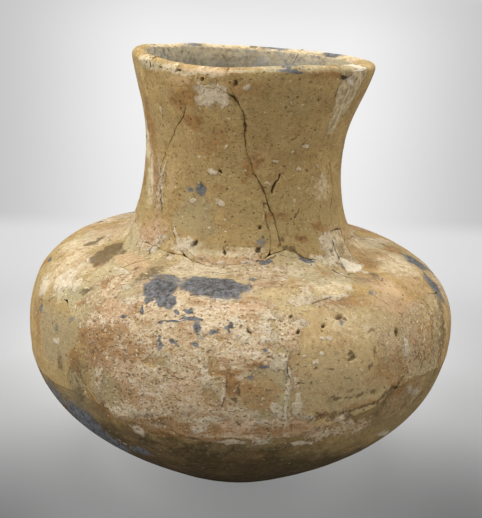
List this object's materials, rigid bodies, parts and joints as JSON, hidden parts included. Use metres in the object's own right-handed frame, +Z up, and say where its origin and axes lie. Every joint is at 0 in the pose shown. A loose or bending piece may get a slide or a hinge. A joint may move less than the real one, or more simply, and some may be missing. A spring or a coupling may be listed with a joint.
{
  "type": "pottery water bottle",
  "caption": "Hand-built unglazed pottery bottle with a squat round body, wide flaring neck and small flat base, mended from sherds that stand edge to edge.",
  "frame": {"origin": "middle of the flat base, on the surface that the bottle stands on", "axes": "+Z up through the mouth, front of the bottle towards -Y, +X to the right of someone facing the front"},
  "size_m": [0.1645, 0.1643, 0.1638],
  "materials": {
    "buff_clay": "unglazed low-fired buff clay, smoothed by hand, with fine dark pits and white specks of shell temper",
    "crusted_clay": "the same clay under a thin chalky cream and pink crust from burial, matt and uneven",
    "ruddy_clay": "the same clay where it fired orange-tan, smooth with a low sheen",
    "sooted_clay": "the same clay darkened brown-grey by the fire under the belly, smooth",
    "plaster_fill": "mender's plaster, off-white, chalky and scraped"
  },
  "bodies": {
    "root": {"base_bowl": "sooted_clay", "belly_front_left": "crusted_clay", "belly_front_right": "ruddy_clay", "belly_right": "crusted_clay", "belly_back_right": "buff_clay", "belly_back_left": "buff_clay", "shoulder_front_left": "crusted_clay", "shoulder_front_right": "crusted_clay", "shoulder_back_right": "buff_clay", "shoulder_back_left": "buff_clay", "neck_left": "buff_clay", "neck_front_left": "buff_clay", "neck_front_right": "buff_clay", "neck_back_right": "buff_clay", "neck_back_left": "buff_clay", "neck_splinter": "buff_clay", "lip_front_left": "buff_clay", "lip_fill": "plaster_fill", "root_fill": "plaster_fill"}
  },
  "joints": []
}
